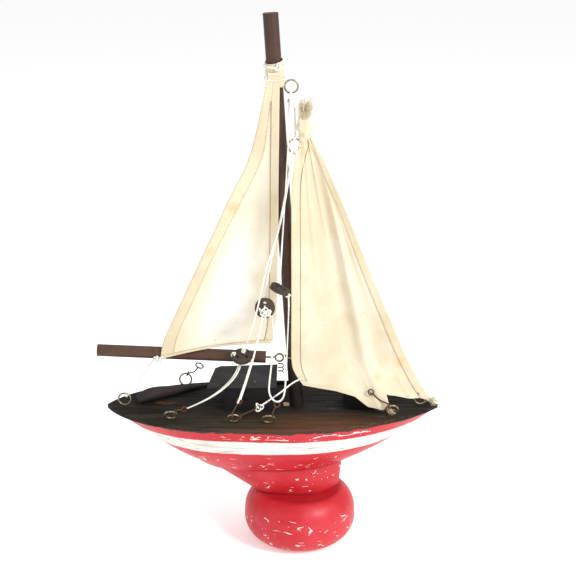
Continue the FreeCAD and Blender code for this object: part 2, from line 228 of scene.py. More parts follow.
# ---------------------------------------------------------------- strings
# Twisted white cotton twine, 1.2 mm thick. It runs from the rings at the masthead, through
# wooden buttons, to wire hooks in the deck's screw eyes.

STRING_RADIUS = 0.6  # millimetres
TWIST = 1.9  # radians of lay to a millimetre
STRANDS = 3
STRAND_MIDDLE = 0.90
STRAND_SWELL = 0.12
AROUND = 12  # points in a ring
STEPS_PER_MM = 2.2
FEWEST_STEPS = 6
KNOT_POINTS = 18
KNOT_THIN = 0.8
CORD_WHITE = (0.95, 0.93, 0.87)
CORD_SHADE = (0.86, 0.83, 0.74)

cotton = Finish("cotton_string", 0.95)
cotton.colour(cotton.mix(cotton.speckle(0.9), CORD_SHADE, CORD_WHITE))
cotton.bump(cotton.speckle(4.0), 0.08, 0.6)


def spline_line(name, route, closed=False):
    """A NURBS line through space whose control points are the route's points, in millimetres."""
    line = bpy.data.curves.new(name + "_line", "CURVE")
    line.dimensions = "3D"
    spline = line.splines.new("NURBS")
    spline.points.add(len(route) - 1)
    for point, place in zip(spline.points, route):
        point.co = (*(Vector(place) * MM), 1)
    spline.order_u = 3
    spline.use_endpoint_u = not closed
    spline.use_cyclic_u = closed
    return line, spline


def swept(name, route, closed=False, thin=1.0):
    """A three-strand string swept along a route, and the points that its middle follows."""
    line, spline = spline_line(name, route, closed)
    holder = bpy.data.objects.new(name + "_line", line)
    runs = sum((Vector(b) - Vector(a)).length for a, b in zip(route, route[1:]))
    spline.resolution_u = max(FEWEST_STEPS, int(runs * STEPS_PER_MM / len(route)))
    plain = bpy.data.meshes.new_from_object(holder)
    path = [vert.co.copy() for vert in plain.vertices]
    travelled = 0.0
    for point, before, here in zip(spline.points, [route[0]] + list(route), route):
        travelled += (Vector(here) - Vector(before)).length
        point.tilt = travelled * TWIST
    line.bevel_depth = STRING_RADIUS * MM * thin
    line.bevel_resolution = AROUND // 2 - 2
    line.use_fill_caps = not closed
    tube = bpy.data.meshes.new_from_object(holder)
    for first in range(0, len(tube.vertices), AROUND):
        ring = tube.vertices[first:first + AROUND]
        middle = sum((vert.co for vert in ring), Vector()) / AROUND
        for number, vert in enumerate(ring):
            strand = STRAND_MIDDLE + STRAND_SWELL * math.cos(STRANDS * math.tau * number / AROUND)
            vert.co = middle + (vert.co - middle) * strand
    return tube, path


def string(name, node, route, crosses=False):
    """A length of string, which may stand for a plain tube. It rides on the boat, unless it
    crosses to another body, when it is left unattached."""
    mesh, path = swept(name, route)
    piece = bpy.data.objects.new(name + "_twine", mesh)
    SCENE.collection.objects.link(piece)
    for face in mesh.polygons:
        face.use_smooth = True
    mesh.materials.append(cotton.material)
    if node:
        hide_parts(node)
    if not crosses:
        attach(piece, "boat")
    return piece


string("jib_halyard", "jib_halyard",
       ((-6.4, -1.4, 306.4), (-5.6, -1.6, 303.8), (-4.0, -3.4, 298.0), (-3.5, -5.6, 284.0),
        (-3.4, -7.0, 278.8), (-3.3, -8.6, 276.8)))
string("spare_halyard", None,
       ((-5.4, 1.2, 306.0), (-6.8, -0.4, 303.0), (-7.4, -3.6, 297.0), (-6.6, -6.8, 284.0),
        (-5.9, -8.6, 273.0), (-5.4, -9.4, 268.0)))
upper = string("front_shroud_upper", "front_shroud_upper",
               ((-6.6, -0.8, 305.8), (-6.4, -3.2, 303.4), (-7.2, -7.4, 286.0),
                (-9.6, -15.8, 245.0), (-12.4, -20.6, 203.0), (-13.0, -21.2, 193.0),
                (-12.6, -21.6, 187.0)), True)
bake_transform(upper)
lower = string("front_shroud_lower", "front_shroud_lower",
               ((-8.0, -21.6, 182.0), (-7.2, -22.4, 177.6), (-8.3, -25.2, 152.0),
                (-9.3, -28.0, 128.0), (-10.2, -30.4, 115.4), (-12.6, -31.4, 111.4),
                (-16.6, -31.2, 110.9), (-20.2, -30.2, 115.6), (-20.2, -28.8, 122.0),
                (-18.2, -27.0, 138.0), (-17.0, -24.9, 158.0), (-18.6, -24.0, 170.6)), True)
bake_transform(lower)
string("mid_shroud_upper", "mid_shroud_upper",
       ((-4.4, -8.4, 269.6), (-6.0, -8.8, 265.0), (-12.9, -12.2, 225.0), (-20.6, -14.2, 193.0),
        (-22.0, -19.6, 179.6), (-22.0, -22.4, 176.0)))
string("mid_shroud_lower", "mid_shroud_lower",
       ((-22.6, -24.8, 174.0), (-24.0, -24.8, 167.0), (-28.0, -26.2, 148.0), (-31.6, -27.6, 134.0),
        (-36.4, -30.6, 119.0), (-38.6, -31.2, 112.6)))
string("mid_shroud_twin", None,
       ((-31.0, -28.2, 139.0), (-33.4, -29.2, 131.0), (-37.6, -31.4, 118.0), (-39.8, -31.6, 111.4),
        (-40.4, -31.2, 110.2)))
string("jib_sheet", "jib_sheet",
       ((1.0, -12.6, 119.6), (-4.6, -13.2, 117.4), (-12.0, -20.4, 113.4), (-24.6, -31.0, 108.6),
        (-27.0, -32.0, 107.6)))
boom_lift = string("boom_lift", "boom_lift",
                   ((-4.8, -9.8, 268.6), (-5.9, -11.0, 263.0), (-11.8, -14.4, 226.0),
                    (-21.8, -21.2, 198.0), (-27.2, -27.0, 172.5), (-32.0, -21.6, 154.3),
                    (-36.2, -13.8, 140.6), (-36.6, -13.0, 137.6)), True)
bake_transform(boom_lift)

SHEET_ROUTE = ((-39.4, -12.2, 131.0), (-39.8, -12.4, 128.6), (-44.6, -14.2, 119.4),
               (-55.0, -17.8, 110.8), (-65.0, -22.2, 106.4), (-73.6, -26.4, 104.2))
TWIN_ROUTE = ((-38.6, -13.0, 131.2), (-38.8, -13.4, 128.4), (-43.4, -15.6, 119.8),
              (-52.8, -19.6, 112.6), (-63.6, -23.8, 107.6), (-73.4, -27.2, 104.6))
main_sheet = string("main_sheet", "main_sheet", SHEET_ROUTE, True)
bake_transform(main_sheet)
twin_sheet = string("main_sheet_twin", None, TWIN_ROUTE, True)
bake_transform(twin_sheet)
clew_line = string("clew_line", "clew_line",
                   ((-96.0, -4.6, 131.0), (-98.6, -3.4, 126.6), (-107.0, -2.4, 113.0),
                    (-114.0, -2.8, 104.6), (-116.0, -3.2, 102.6)), True)
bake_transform(clew_line)


def knot(name, places, body="boat"):
    """Small overhand knots, each a closed string wound like a clover leaf."""
    bm = bmesh.new()
    for place, size, lean in places:
        leaned = Matrix.Rotation(lean, 3, "Y") @ Matrix.Rotation(lean * 1.7, 3, "X")
        loop = []
        for number in range(KNOT_POINTS):
            angle = math.tau * number / KNOT_POINTS
            spot = Vector((math.sin(angle) + 2 * math.sin(2 * angle),
                           math.cos(angle) - 2 * math.cos(2 * angle), -1.4 * math.sin(3 * angle)))
            loop.append(Vector(place) + leaned @ spot * size)
        bm.from_mesh(swept(name, loop, True, KNOT_THIN)[0])
    piece = build(name, bm)
    piece.data.materials.append(cotton.material)
    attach(piece, body)


knot("masthead_knot", (((-5.2, -1.6, 303.0), 0.8, 0.3), ((-6.4, -2.2, 300.6), 0.7, 1.2)))
knot("jib_head_knot", (((-3.6, -8.2, 279.0), 0.55, 0.8), ((-1.6, -9.4, 271.6), 1.0, 0.4),
                       ((-3.6, -9.4, 267.4), 0.8, 1.9)))
knot("slider_knot", (((-8.2, -22.4, 180.6), 0.55, 0.9),), "slider")
knot("tied_knot", (((-23.6, -26.4, 171.0), 1.1, 0.2), ((-20.4, -26.0, 169.6), 0.8, 1.4),
                   ((-22.4, -26.2, 167.6), 0.8, 2.2)))
knot("sheet_knot", (((-26.6, -32.2, 107.6), 1.0, 0.5),))
knot("clew_knot", (((-92.0, -6.2, 130.2), 1.1, 0.4), ((-95.2, -5.2, 129.6), 0.9, 1.6)),
     "boom_and_sail")
knot("boom_knot", (((-37.0, -13.2, 139.4), 0.45, 0.7), ((-43.4, -12.8, 136.4), 0.6, 1.3)),
     "boom_and_sail")

# ---------------------------------------------------------------- hull, fin and foot
# Carved softwood in one red coat: a waterline band in white, rubbed edges where the white
# primer shows, and stain from the deck that runs over the top edge.

HULL_JOINT = (55.6, 57.6)  # heights and lengths in millimetres
FIN_JOINT = (35.8, 37.6)
WATERLINE = (75.9, 85.8)
UPPER_EDGE = (86.6, 90.8)
WORN_UPPER = (86.8, 90.6)
WORN_BOTTOM = (57.0, 73.5)
WORN_FIN = (38.0, 55.0)
WORN_FOOT = (3.0, 28.0)
STAIN_EDGE = (91.7, 92.3)
RUBBED_LENGTH = (-52.0, 42.0)
WORN_LENGTH = (-62.0, 48.0)
FADED_STERN = (-95.0, -35.0)
RED_DEEP = (0.42, 0.008, 0.014)
RED_BRIGHT = (0.60, 0.022, 0.034)
RED_PATCH = (0.62, 0.045, 0.062)
RED_FADED = (0.60, 0.065, 0.090)
JOINT_SHADE = (0.26, 0.006, 0.012)
BAND_WHITE = (0.78, 0.75, 0.69)
BAND_SOILED = (0.52, 0.48, 0.43)
SCRATCH_GREY = (0.16, 0.13, 0.12)
PRIMER = (0.88, 0.76, 0.70)
RUN_OVER_STAIN = (0.030, 0.024, 0.020)

red = Finish("red_paint", 0.42, 0.35)
height = red.axis("Z")
fore_aft = red.axis("X")
streaks = red.speckle(0.35, 5.0, (0.12, 1, 1))
patches = red.speckle(0.035, 2.0)
coat = red.mix(streaks, RED_DEEP, RED_BRIGHT)
coat = red.mix(red.step(patches, 0.42, 0.66) * 0.5, coat, RED_PATCH)
coat = red.mix((1 - red.step(fore_aft, *FADED_STERN)) * 0.5, coat, RED_FADED)
# Darker red along the creases where hull meets fin and fin meets foot: painted shade of the
# creases, and paint that pooled in them.
crease_shade = red.slot(height, *HULL_JOINT, 0.7) + red.slot(height, *FIN_JOINT, 0.6)
coat = red.mix(crease_shade * 0.45, coat, JOINT_SHADE)
wobble = (red.speckle(0.05, 3.0) - 0.5) * 1.6
fine = (red.speckle(0.6, 3.0) - 0.5) * 0.7
level = height + wobble + fine
band = red.slot(level, *WATERLINE, 0.3)
soiled = red.step(red.speckle(0.25, 5.0, (0.10, 1, 2.5)), 0.50, 0.70)
white = red.mix(soiled, BAND_WHITE, BAND_SOILED)
scratch = red.step(red.speckle(0.5, 4.0, (0.10, 1, 2.5)), 0.63, 0.70)
white = red.mix(scratch * 0.7, white, SCRATCH_GREY)
coat = red.mix(band, coat, white)
contour = 1 - red.step(abs(red.speckle(0.11, 2.0, (0.40, 0.7, 1.7)) - 0.5), 0.010, 0.022)
broken = red.step(red.speckle(0.17, 2.0, (0.7, 1, 1)), 0.55, 0.60)
flecks = red.step(red.speckle(0.36, 2.0, (0.6, 1, 1)), 0.70, 0.72)
rubbed = 1 - red.step(abs(red.speckle(0.07, 3.0, (0.30, 0.5, 3.2)) - 0.5), 0.014, 0.026)
rubbed = rubbed * red.step(red.speckle(0.11, 2.0, (0.8, 1, 1)), 0.46, 0.52)
rubbed = rubbed * red.slot(height, *UPPER_EDGE, 0.5) * red.slot(fore_aft, *RUBBED_LENGTH, 8.0)
worn = (red.slot(height, *WORN_UPPER, 0.8) * red.slot(fore_aft, *WORN_LENGTH, 12.0)
        + red.slot(height, *WORN_BOTTOM, 2.0) * 0.56 + red.slot(height, *WORN_FIN, 1.5) * 0.54
        + red.slot(height, *WORN_FOOT, 4.0) * 0.70)
chips = red.step((contour * broken + flecks * 0.9) * worn + rubbed, 0.42, 0.52)
coat = red.mix(chips, coat, PRIMER)
ragged = (red.speckle(0.16, 4.0, (0.7, 1, 1)) - 0.5) * 5.0
stain_line = red.step(height + wobble + ragged, *STAIN_EDGE)
coat = red.mix(stain_line, coat, RUN_OVER_STAIN)
red.colour(coat)
red.rough(streaks * 0.18 + 0.34 + band * 0.18 + chips * 0.2)
red.bump(streaks * 0.6 + (1 - chips) * 1.0 + red.speckle(0.12, 2.0) * 1.5, 0.30, 0.7)
dress(red, "hull", "fin", "foot")

# ---------------------------------------------------------------- deck, cabin, hatch and strip
# Pine boards stained near black. The grain runs fore and aft, and handling has worn the
# starboard edge back to brown.

DECK_BLACK = (0.006, 0.005, 0.004)
DECK_BROWN = (0.034, 0.027, 0.021)
DECK_GRAIN = (0.012, 0.010, 0.009)
WORN_AFT = (0.070, 0.050, 0.028)
WORN_FORE = (0.130, 0.055, 0.026)
DECK_SCRATCH = (0.12, 0.090, 0.065)
TILLER_RUB = (0.30, 0.12, 0.045)
BLOCK_BLACK = (0.006, 0.006, 0.007)
BLOCK_GREY = (0.026, 0.023, 0.022)
ROOF_DARK = (0.022, 0.020, 0.019)
ROOF_GREY = (0.060, 0.056, 0.052)

dark = Finish("dark_stain", 0.55, 0.10)
side = dark.axis("Y")
fore_aft = dark.axis("X")
grain = dark.speckle(0.9, 6.0, (0.06, 1, 1))
coarse = dark.speckle(0.07, 3.0, (0.4, 1, 1))
boards = dark.speckle(0.5, 5.0, (0.03, 1, 1))
stain = dark.mix(dark.step(boards, 0.38, 0.62), DECK_BLACK, DECK_BROWN)
stain = dark.mix(grain * 0.5, stain, DECK_GRAIN)
edge = 1 - dark.step(side + coarse * 18.0, -22.0, 2.0)
worn = dark.mix(dark.step(fore_aft + coarse * 40.0, -20.0, 20.0), WORN_AFT, WORN_FORE)
patch = dark.slot(fore_aft + coarse * 30.0, -40.0, 62.0, 16.0)
stain = dark.mix(edge * (boards * 0.9 + 0.15) * (patch * 0.65 + 0.35), stain, worn)
scored = dark.step(dark.speckle(0.4, 3.0, (0.15, 1, 1)), 0.66, 0.72)
stain = dark.mix(scored * 0.4, stain, DECK_SCRATCH)
near_tiller = dark.slot(side, 0.0, 3.2, 0.8) * dark.slot(fore_aft, -96.0, -84.0, 3.0)
rub_marks = dark.step(dark.speckle(0.5, 3.0, (0.12, 1, 1)), 0.46, 0.56)
stain = dark.mix(near_tiller * rub_marks, stain, TILLER_RUB)
dark.colour(stain)
dark.rough(grain * 0.20 + 0.60)
dark.bump(boards * 1.4 + grain * 0.6 + coarse * 0.6, 0.30, 0.8)
dress(dark, "deck", "deck_strip")


def brushed(name, shine, fineness, deep, pale, rough, *names):
    """Smooth blocks under one thin coat of stain, with the grain fore and aft."""
    finish = Finish(name, rough, shine)
    lines = finish.speckle(fineness, 6.0, (0.08, 1, 1))
    finish.colour(finish.mix(lines, deep, pale))
    finish.rough(lines * 0.2 + rough)
    finish.bump(lines, 0.2, 0.6)
    dress(finish, *names)


brushed("dark_block", 0.08, 0.8, BLOCK_BLACK, BLOCK_GREY, 0.55, "fore_hatch", "cabin")
brushed("roof_stain", 0.15, 0.7, ROOF_DARK, ROOF_GREY, 0.6, "cabin_roof")

# ---------------------------------------------------------------- mast, boom and tiller
# Hardwood dowels in a thin brown stain, darker where the brush overlapped, with a whittled
# tiller, turned buttons in the same stain, and a chip and a dowel that were left bare.


def stained(name, light, deep, stretch, rough):
    """A wood finish whose grain runs along the axis that stretch makes short."""
    wood = Finish(name, rough, 0.3)
    lines = wood.speckle(0.9, 6.0, stretch)
    cloud = wood.speckle(0.05, 3.0)
    wood.colour(wood.mix(wood.step(cloud, 0.35, 0.65) * 0.6, wood.mix(lines, deep, light), deep))
    wood.rough(lines * 0.2 + rough)
    wood.bump(lines, 0.15, 0.6)
    return wood


MAST_LOW = (118.0, 150.0)
MAST_BLACK = (0.010, 0.008, 0.008)

mast_stain = stained("mast_stain", (0.100, 0.052, 0.034), (0.034, 0.018, 0.013), (1, 1, 0.05), 0.40)
all_over = Wire(mast_stain, mast_stain.shader.inputs["Base Color"].links[0].from_socket)
low_down = 1 - mast_stain.step(mast_stain.axis("Z"), *MAST_LOW)
mast_stain.colour(mast_stain.mix(low_down * 0.8, all_over, MAST_BLACK))
dress(mast_stain, "mast")
dress(stained("boom_stain", (0.135, 0.066, 0.038), (0.050, 0.025, 0.016), (0.05, 1, 1), 0.42),
      "boom")
dress(stained("tiller_stain", (0.048, 0.034, 0.028), (0.014, 0.011, 0.010), (0.10, 1, 1), 0.6),
      "tiller")
dress(stained("button_stain", (0.095, 0.068, 0.052), (0.035, 0.025, 0.020), (0.4, 1, 1), 0.5),
      "boom_disc", "slide_disc", "tied_disc")
dress(stained("bare_wood", (0.62, 0.47, 0.30), (0.42, 0.30, 0.18), (0.2, 1, 1), 0.7),
      "mast_chip", "keel_dowel")

# ---------------------------------------------------------------- screw eyes, rings and hooks
# Brass-plated screw eyes gone dull, and hooks bent from soft iron wire that has rusted brown.

BRASS = (0.42, 0.35, 0.21)
BRASS_TARNISH = (0.14, 0.11, 0.075)
RUST_DARK = (0.040, 0.020, 0.014)
RUST_BROWN = (0.150, 0.065, 0.035)


def nodes_called(ending):
    return [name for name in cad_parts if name.endswith(ending)]


brass = Finish("brass_wire", 0.4)
tarnish = brass.speckle(0.5, 4.0)
brass.colour(brass.mix(brass.step(tarnish, 0.42, 0.66), BRASS, BRASS_TARNISH))
brass.feed(brass.shader.inputs["Metallic"], 1 - brass.step(tarnish, 0.45, 0.7) * 0.5)
brass.rough(tarnish * 0.35 + 0.26)
brass.bump(tarnish, 0.08, 0.5)
dress(brass, *nodes_called("_eye"), "jib_ring", "mast_loop", "roof_pin", "tiller_pin")

rust = Finish("rusty_wire", 0.75)
bloom = rust.speckle(1.2, 5.0)
rust.colour(rust.mix(bloom, RUST_DARK, RUST_BROWN))
rust.feed(rust.shader.inputs["Metallic"], 0.35)
rust.bump(bloom, 0.12, 0.8)
dress(rust, *nodes_called("_hook"), "boom_coil")

# ---------------------------------------------------------------- mainsail
# Unbleached cotton with a wide hem on the leech and the foot and a narrow one on the luff.
# Its head is rolled round the mast and its clew is stitched over the boom.


CLOTH_THICK = 0.3
HEM_LIFT = 0.3
FOOT_HEM_LIFT = 0.45
SEAM_LIFT = 0.55
FOOT_SEAM_LIFT = 0.72
STITCH_LENGTH = 2.0
STITCH_RADIUS = 0.17
UNBROKEN = (0.0, 1.0)
MAIN_LEECH_HEM = 9.0
MAIN_LUFF_HEM = 5.5


def along(points, amount):
    """A smooth curve through points, from the first at 0 to the last at 1."""
    last = len(points) - 1
    spot = min(max(amount, 0.0), 0.99999) * last
    number = int(spot)
    rest = spot - number
    a, b, c, d = [Vector(points[min(max(number + shift, 0), last)]) for shift in (-1, 0, 1, 2)]
    return 0.5 * ((2 * b) + (c - a) * rest + (2 * a - 5 * b + 4 * c - d) * rest ** 2
                  + (3 * b - a - 3 * c + d) * rest ** 3)


def swell(value, low, high):
    """0 to 1 with a soft start and end."""
    part = min(max((value - low) / (high - low), 0.0), 1.0)
    return part * part * (3 - 2 * part)


def cloth(name, place, across, tall, span=(0, 1, 0, 1), lift=0.0):
    """A sheet of cloth: a grid whose points are set by place(u, v), in millimetres. The span is
    its part of place's own 0 to 1, low and high for u, then for v."""
    bm = bmesh.new()
    weave = bm.loops.layers.uv.new("weave")
    bmesh.ops.create_grid(bm, x_segments=across, y_segments=tall, size=0.5)
    low_u, high_u, low_v, high_v = span
    spots = {}
    for vert in bm.verts:
        spots[vert] = (low_u + (vert.co.x + 0.5) * (high_u - low_u),
                       low_v + (vert.co.y + 0.5) * (high_v - low_v))
    for face in bm.faces:
        for loop in face.loops:
            loop[weave].uv = spots[loop.vert]
    for vert, (u, v) in spots.items():
        point = place(u, v)
        point.y -= lift
        vert.co = point * MM
    piece = build(name, bm)
    wall = piece.modifiers.new("cloth_thickness", "SOLIDIFY")
    wall.thickness = CLOTH_THICK * MM
    wall.offset = 0
    return piece


def strip(place, width, side):
    """A hem's own place(u, v): u runs in from the cloth's near or far edge, over one width."""
    def inner(u, v):
        reach = (place(1, v) - place(0, v)).length
        share = min(width / max(reach, 1.0), 0.5)
        return place(1 - u * share if side == "far" else u * share, v)
    return inner


TEA_SPOTS = (((-41.5, -2, 232), 4.0, 0.60), ((-32.0, -2, 229), 3.0, 0.50),
             ((-58.0, -2, 203), 3.5, 0.50), ((20.5, -9, 175), 3.5, 0.60),
             ((50.0, -6, 118), 3.5, 0.60), ((23.5, -9, 128), 3.0, 0.50),
             ((65.5, -3, 127), 4.5, 0.60), ((10.0, -9, 183), 2.5, 0.45),
             ((2.0, -9, 270), 4.0, 0.45))
TEA = (0.70, 0.46, 0.17)
# Painted light for the mainsail: a paler white and two glows that stand in for light shining
# through the cloth.
BACKLIGHT_PAINTED_WHITE = (0.96, 0.96, 0.93)
FAINT_PAINTED_GLOW = (0.02, 0.018, 0.014)
BACKLIGHT_PAINTED_GLOW = (0.13, 0.13, 0.12)
SLUB_TAN = (0.66, 0.54, 0.35)
SEED_BROWN = (0.46, 0.32, 0.16)


def sailcloth(name, pale, deep, backlight_paint):
    """Plain-woven cotton: threads, slubs, tea-coloured spots, and, when asked for, painted
    backlight: a paler middle and a glow of its own.
    """
    cloth_finish = Finish(name, 0.9)

    def threads(direction):
        return cloth_finish.node("TexWave", {"wave_type": "BANDS", "bands_direction": direction},
                                 {"Vector": cloth_finish.place(), "Scale": 0.9,
                                  "Distortion": 1.0, "Detail": 1.0})

    upright = threads("X")
    level = threads("Z")
    slub = cloth_finish.speckle(0.9, 4.0, (0.3, 1, 1))
    clouded = cloth_finish.step(cloth_finish.speckle(0.03, 4.0), 0.35, 0.65)
    cream = cloth_finish.mix(clouded, deep, pale)
    # Painted backlight: the middle is painted paler and glows, and the rest of the sail glows
    # faintly, in place of light coming through the cloth.
    if backlight_paint:
        weave = {"Vector": cloth_finish.place(source="UV")}
        across = cloth_finish.node("SeparateXYZ", {}, weave, "X")
        tall = cloth_finish.node("SeparateXYZ", {}, weave, "Y")
        uneven = (cloth_finish.speckle(0.03, 2.0) - 0.5) * 0.3
        middle = (cloth_finish.slot(across + uneven, 0.30, 0.66, 0.16)
                  * cloth_finish.slot(tall + uneven, 0.16, 0.55, 0.14))
        cream = cloth_finish.mix(middle * backlight_paint, cream, BACKLIGHT_PAINTED_WHITE)
        lit_through = cloth_finish.mix(middle * backlight_paint, FAINT_PAINTED_GLOW, BACKLIGHT_PAINTED_GLOW)
        cloth_finish.feed(cloth_finish.shader.inputs["Emission Color"], lit_through)
        cloth_finish.shader.inputs["Emission Strength"].default_value = 1.0
    cream = cloth_finish.mix(slub * 0.22, cream, SLUB_TAN)
    seeds = cloth_finish.step(cloth_finish.speckle(0.45, 1.0), 0.74, 0.78)
    cream = cloth_finish.mix(seeds * 0.5, cream, SEED_BROWN)
    cloud = cloth_finish.speckle(0.09, 5.0)
    for centre, radius, depth in TEA_SPOTS:
        away = cloth_finish.node("VectorMath", {"operation": "DISTANCE"},
                                 {0: cloth_finish.place(), 1: centre}, "Value")
        spot = 1 - cloth_finish.step(away + cloud * (radius * 1.6), radius * 0.8, radius * 2.2)
        cream = cloth_finish.mix(spot * depth, cream, TEA)
    cloth_finish.colour(cream)
    cloth_finish.bump(upright * 0.5 + level * 0.5 + slub * 0.6, 0.10, 0.55)
    return cloth_finish


# Only the mainsail carries the painted backlight; the jib and the hems have none.
main_cotton = sailcloth("main_cotton", (0.80, 0.74, 0.60), (0.72, 0.63, 0.46), 0.95)
jib_cotton = sailcloth("jib_cotton", (0.78, 0.71, 0.55), (0.68, 0.58, 0.41), 0)
hem_cotton = sailcloth("hem_cotton", (0.75, 0.66, 0.48), (0.66, 0.55, 0.37), 0)
thread = Finish("seam_thread", 0.9)
thread.colour(thread.mix(thread.speckle(0.8), (0.52, 0.42, 0.28), (0.64, 0.54, 0.38)))
# Painted shadow: an unbroken dark brown line along a hem's inner edge, in place of the shade that
# the hem's folded edge casts.
hem_edge_shadow = Finish("seam_hem_edge_shadow", 0.9)
hem_edge_shadow.colour(hem_edge_shadow.mix(hem_edge_shadow.speckle(0.3), (0.16, 0.10, 0.055), (0.38, 0.27, 0.16)))


def seam(name, place, u_line, low, high, lift, finish, filled=(0.12, 0.82)):
    """A line along a hem's inner edge: short threads that each fill their share of a stitch's
    length from the first number of filled to the second. In the dark brown finish and unbroken, it
    is a painted shadow line, not stitches."""
    bm = bmesh.new()
    reach = (place(u_line, high) - place(u_line, low)).length
    count = int(reach / STITCH_LENGTH)
    for number in range(count):
        ends = []
        for part in filled:
            share = low + (high - low) * (number + part) / count
            point = place(u_line, share)
            point.y -= lift
            ends.append(point)
        run = ends[1] - ends[0]
        turn = run.to_track_quat("Z", "Y").to_matrix().to_4x4()
        spot = Matrix.Translation((ends[0] + ends[1]) / 2 * MM) @ turn
        bmesh.ops.create_cone(bm, cap_ends=True, segments=5, radius1=STITCH_RADIUS * MM,
                              radius2=STITCH_RADIUS * MM, depth=run.length * MM, matrix=spot)
    piece = build(name, bm)
    piece.data.materials.append(finish.material)
    return piece


MAIN_LUFF = ((-18.6, -5.9, 142.0), (-15.6, -5.6, 160.0), (-14.8, -5.6, 186.0), (-14.2, -5.8, 222.0),
             (-13.8, -6.1, 262.0), (-13.0, -6.4, 318.0))
MAIN_LEECH = ((-92.0, -5.2, 130.4), (-89.5, -3.6, 143.0), (-80.5, -2.0, 163.0),
              (-67.0, -1.0, 192.0), (-46.6, -1.5, 235.5), (-31.4, -3.2, 268.0),
              (-20.0, -6.4, 318.0))


def mainsail_place(u, v):
    """The mainsail from its luff, u 0, to its leech, u 1, and from its foot to its head."""
    luff = along(MAIN_LUFF, v)
    leech = along(MAIN_LEECH, v)
    point = luff.lerp(leech, u)
    point.z += 2.6 * math.sin(math.pi * u) * (1 - swell(v, 0, 0.12))
    belly = math.sin(math.pi * min(u * 1.05, 1)) * math.sin(math.pi * min(v + 0.12, 1))
    point.y += 6.5 * (swell(v, 0.02, 0.30) * belly)
    fan = math.atan2(v * 178, (1 - u) * 72 + 1)
    fan_height = swell(v, 0.03, 0.25) * (1 - swell(v, 0.25, 0.8))
    point.y += 0.9 * fan_height * math.sin(9 * fan + 1.2) * swell(1 - u, 0.02, 0.3)
    ripple = noise.noise(Vector((point.x * 0.035, 3.1, point.z * 0.016 + point.x * 0.01)))
    small = noise.noise(Vector((point.x * 0.11, 7.7, point.z * 0.05)))
    loose = swell(v, 0.03, 0.12) * (1 - swell(v, 0.85, 1.0))
    point.y += loose * (2.0 * ripple + 0.6 * small) * math.sin(math.pi * min(u + 0.15, 1))
    return point


main_leech = strip(mainsail_place, MAIN_LEECH_HEM, "far")
main_luff = strip(mainsail_place, MAIN_LUFF_HEM, "near")
mainsail = cloth("mainsail_cloth", mainsail_place, 60, 120)
mainsail.data.materials.append(main_cotton.material)
leech_hem = cloth("main_leech_hem", main_leech, 8, 120, (0, 1, 0, 0.99), HEM_LIFT)
foot_hem = cloth("main_foot_hem", mainsail_place, 60, 6, (0.02, 1.0, 0, 0.045), FOOT_HEM_LIFT)
luff_hem = cloth("main_luff_hem", main_luff, 8, 110, (0, 1, 0.04, 0.99), HEM_LIFT)
for hem in (leech_hem, foot_hem, luff_hem):
    hem.data.materials.append(hem_cotton.material)
leech_seam = seam("main_leech_seam", main_leech, 0.95, 0.0, 0.93, SEAM_LIFT, thread)
foot_seam = seam("main_foot_seam", lambda line, share: mainsail_place(share, line),
                 0.042, 0.04, 0.98, FOOT_SEAM_LIFT, thread, UNBROKEN)
# The main luff seam is a painted shadow line, not stitches.
luff_seam = seam("main_luff_seam_shadow", main_luff, 0.96, 0.05, 0.93, SEAM_LIFT, hem_edge_shadow, UNBROKEN)
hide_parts("mainsail")
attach(mainsail, "boom_and_sail")
for piece in (leech_hem, foot_hem, luff_hem):
    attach(piece, "boom_and_sail")
for piece in (leech_seam, luff_seam, foot_seam):
    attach(piece, "boom_and_sail")

# ---------------------------------------------------------------- sail collar
# The head of the mainsail, cut long and rolled once round the mast. Three turns of thin string
# lash it down, and are knotted at the side.

MAST_RAKE = math.radians(3.7)
MAST_AXIS = Vector((-math.sin(MAST_RAKE), 0, math.cos(MAST_RAKE)))
MAST_STEP = Vector((-2, 0, 96))
LASHING_TURNS = ((322.0, 0.5), (320.4, -0.6), (314.0, 0.7))
LASHING_RADIUS = 6.7
LASHING_POINTS = 16
LASHING_THIN = 0.55


def mast_middle(level):
    """The point on the mast's axis at a height, in millimetres."""
    return MAST_STEP + MAST_AXIS * ((level - MAST_STEP.z) / MAST_AXIS.z)


def collar_place(u, v):
    """A little over one turn round the mast, from the collar's lower edge to its upper one."""
    angle = math.tau * u * 1.12 + 1.9
    reach = 5.35 + 0.55 * u + 0.25 * noise.noise(Vector((angle * 1.3, v * 3, 0.4)))
    top = 324.6 + 1.6 * math.sin(angle + 0.6)
    bottom = 309.6 + 0.8 * math.sin(2 * angle)
    level = bottom + (top - bottom) * v
    return mast_middle(level) + Vector((reach * math.cos(angle), reach * math.sin(angle), 0))


collar = cloth("sail_collar_cloth", collar_place, 72, 14)
collar.data.materials.append(hem_cotton.material)
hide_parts("sail_collar")
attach(collar, "boom_and_sail")

lashing_bm = bmesh.new()
for level, tilt in LASHING_TURNS:
    turn = []
    for number in range(LASHING_POINTS):
        angle = math.tau * number / LASHING_POINTS
        turn.append(mast_middle(level) + Vector((LASHING_RADIUS * math.cos(angle),
                                                 LASHING_RADIUS * math.sin(angle),
                                                 tilt * math.sin(angle))))
    lashing_bm.from_mesh(swept("lashing", turn, True, LASHING_THIN)[0])
lashing = build("collar_lashing", lashing_bm)
lashing.data.materials.append(cotton.material)
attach(lashing, "boom_and_sail")
knot("lashing_knot", (((-13.6, -6.8, 321.6), 0.8, 0.9), ((-20.0, -6.6, 314.4), 0.6, 0.2)),
     "boom_and_sail")

# ---------------------------------------------------------------- jib
# The fore sail, of the same cotton. Its foot ends in a tongue that is drawn down to the
# starboard fore eye, and its luff runs on as a raw strip to the bow eye.

